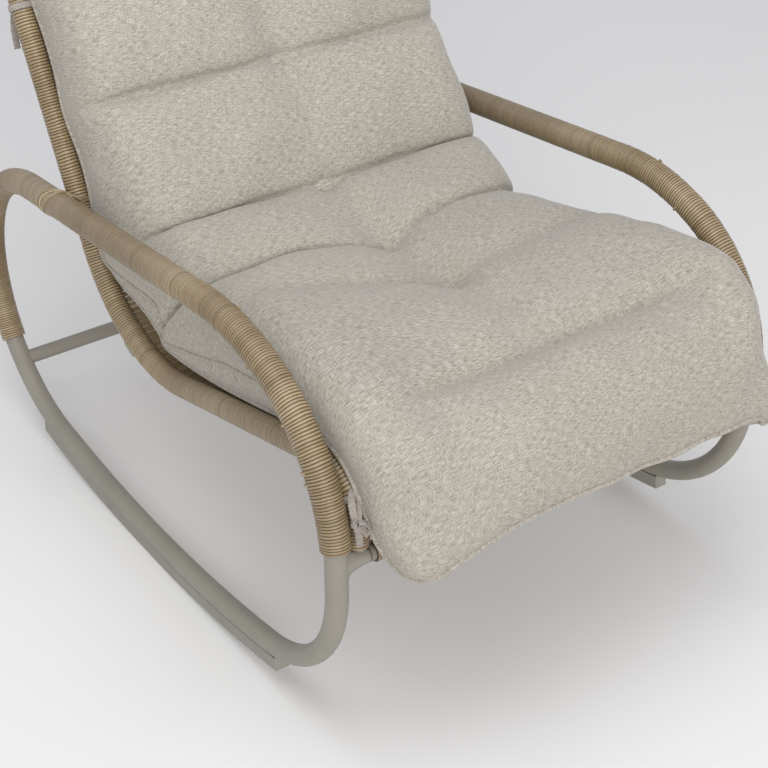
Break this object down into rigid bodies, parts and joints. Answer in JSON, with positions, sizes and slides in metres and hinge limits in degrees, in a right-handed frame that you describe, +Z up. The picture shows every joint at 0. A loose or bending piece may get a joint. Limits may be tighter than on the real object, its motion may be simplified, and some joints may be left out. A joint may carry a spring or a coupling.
{
  "type": "outdoor rocking chair",
  "caption": "Outdoor rocking chair: looped tube arms and runners, strand-wrapped arms and seat frame, open woven seat and one long tufted cushion.",
  "frame": {"origin": "on the floor, under the middle of the chair's box", "axes": "+Z up, +X to the right of someone who faces the chair from the front, -Y to the front of the seat"},
  "size_m": [0.705, 1.0527, 0.9563],
  "materials": {
    "frame_paint": "matte taupe powder coat",
    "resin_strand": "satin, round extruded strand, tan with darker streaks",
    "runner_strip": "matte taupe",
    "cushion_fabric": "heathered beige-grey plain weave",
    "fibre_fill": "white fibre wadding",
    "tie_fabric": "flat sewn strap, pinkish grey",
    "screw_steel": "brushed"
  },
  "bodies": {
    "root": {"back_weave": "resin_strand", "bend_weave": "resin_strand", "cushion_cover": "cushion_fabric", "cushion_fill": "fibre_fill", "front_bar": "frame_paint", "front_bar_wrap": "resin_strand", "left_arm_lashing": "resin_strand", "left_arm_stub": "frame_paint", "left_arm_tube": "frame_paint", "left_arm_wrap": "resin_strand", "left_back_tie": "tie_fabric", "left_front_bar_weld": "frame_paint", "left_front_tie": "tie_fabric", "left_hoop_sleeves": "frame_paint", "left_rail_wrap": "resin_strand", "left_rear_bar_lug": "frame_paint", "left_runner_strip": "runner_strip", "left_runner_tube": "frame_paint", "left_seat_back_rail": "frame_paint", "rear_stretcher": "frame_paint", "right_arm_lashing": "resin_strand", "right_arm_stub": "frame_paint", "right_arm_tube": "frame_paint", "right_arm_wrap": "resin_strand", "right_back_tie": "tie_fabric", "right_front_bar_weld": "frame_paint", "right_front_tie": "tie_fabric", "right_hoop_sleeves": "frame_paint", "right_rail_wrap": "resin_strand", "right_rear_bar_lug": "frame_paint", "right_runner_strip": "runner_strip", "right_runner_tube": "frame_paint", "right_seat_back_rail": "frame_paint", "runner_screws": "screw_steel", "seat_rear_bar": "frame_paint", "seat_weave": "resin_strand", "top_back_rail": "frame_paint", "top_rail_wrap": "resin_strand", "tuft_tabs": "cushion_fabric"}
  },
  "joints": []
}
